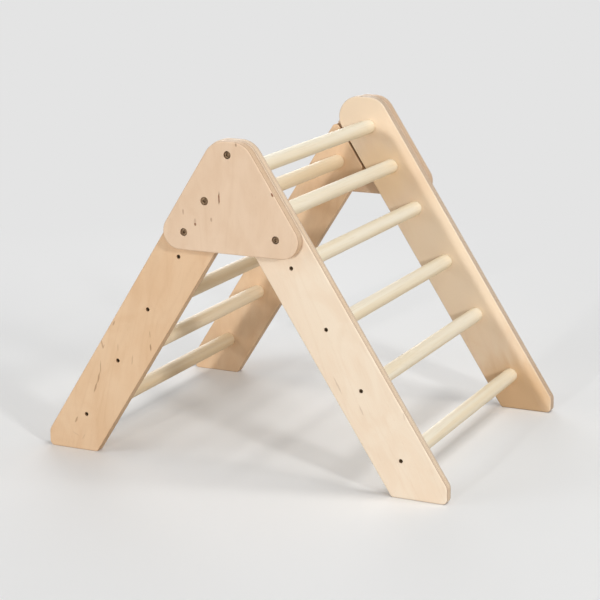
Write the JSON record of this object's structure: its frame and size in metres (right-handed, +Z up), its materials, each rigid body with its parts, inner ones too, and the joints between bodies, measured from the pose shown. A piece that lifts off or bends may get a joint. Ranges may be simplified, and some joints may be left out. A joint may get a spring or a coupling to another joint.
{
  "type": "climbing triangle",
  "caption": "Folding wooden climbing triangle: ladders of plywood rails and round rungs, hinged at the top between rounded triangular gusset plates.",
  "frame": {"origin": "on the floor, halfway between the outermost points of the feet and halfway between the outer faces of the gusset plates", "axes": "+X from the feet of the left ladder to the feet of the right ladder, +Y along the rungs away from the viewer of the picture, +Z up"},
  "size_m": [0.6978, 0.566, 0.5315],
  "materials": {
    "right_rail": "sanded birch plywood, clear satin",
    "left_rail": "sanded birch plywood, clear satin",
    "gusset_plate": "sanded birch plywood, clear satin",
    "rung": "sanded round rod, clear satin",
    "rung_screw": "dull, shaded in its hole",
    "bolt": "dark, dull",
    "washer": "zinc plated",
    "insert": "plain"
  },
  "bodies": {
    "right_ladder": {"right_rail_near": "right_rail", "right_rail_far": "right_rail", "right_rung_1": "rung", "right_rung_2": "rung", "right_rung_3": "rung", "right_rung_4": "rung", "right_rung_5": "rung", "right_rung_6": "rung", "gusset_near": "gusset_plate", "gusset_far": "gusset_plate", "right_rung_screws_near": "rung_screw", "right_rung_screws_far": "rung_screw", "gusset_bolts_near": "bolt", "gusset_bolts_far": "bolt", "gusset_washers_near": "washer", "gusset_washers_far": "washer", "gusset_inserts_near": "insert", "gusset_inserts_far": "insert"},
    "left_ladder": {"left_rail_near": "left_rail", "left_rail_far": "left_rail", "left_rung_1": "rung", "left_rung_2": "rung", "left_rung_3": "rung", "left_rung_4": "rung", "left_rung_5": "rung", "left_rung_screws_near": "rung_screw", "left_rung_screws_far": "rung_screw", "pivot_bolt_near": "bolt", "pivot_bolt_far": "bolt", "pivot_washer_near": "washer", "pivot_washer_far": "washer", "pivot_insert_near": "insert", "pivot_insert_far": "insert", "lock_insert_near": "insert", "lock_insert_far": "insert"},
    "lock_near": {"lock_screw_near": "bolt"},
    "lock_far": {"lock_screw_far": "bolt"}
  },
  "joints": [
    {"name": "fold", "type": "hinge", "parent": "right_ladder", "child": "left_ladder", "pos_m": [-0.08368, 0, 0.38555], "axis": [0, -1, 0], "range_deg": [0, 65]},
    {"name": "lock_near_drive", "type": "slide", "parent": "right_ladder", "child": "lock_near", "axis": [0, 1, 0], "range_m": [0, 0.006]},
    {"name": "lock_far_drive", "type": "slide", "parent": "right_ladder", "child": "lock_far", "axis": [0, -1, 0], "range_m": [0, 0.006]}
  ]
}
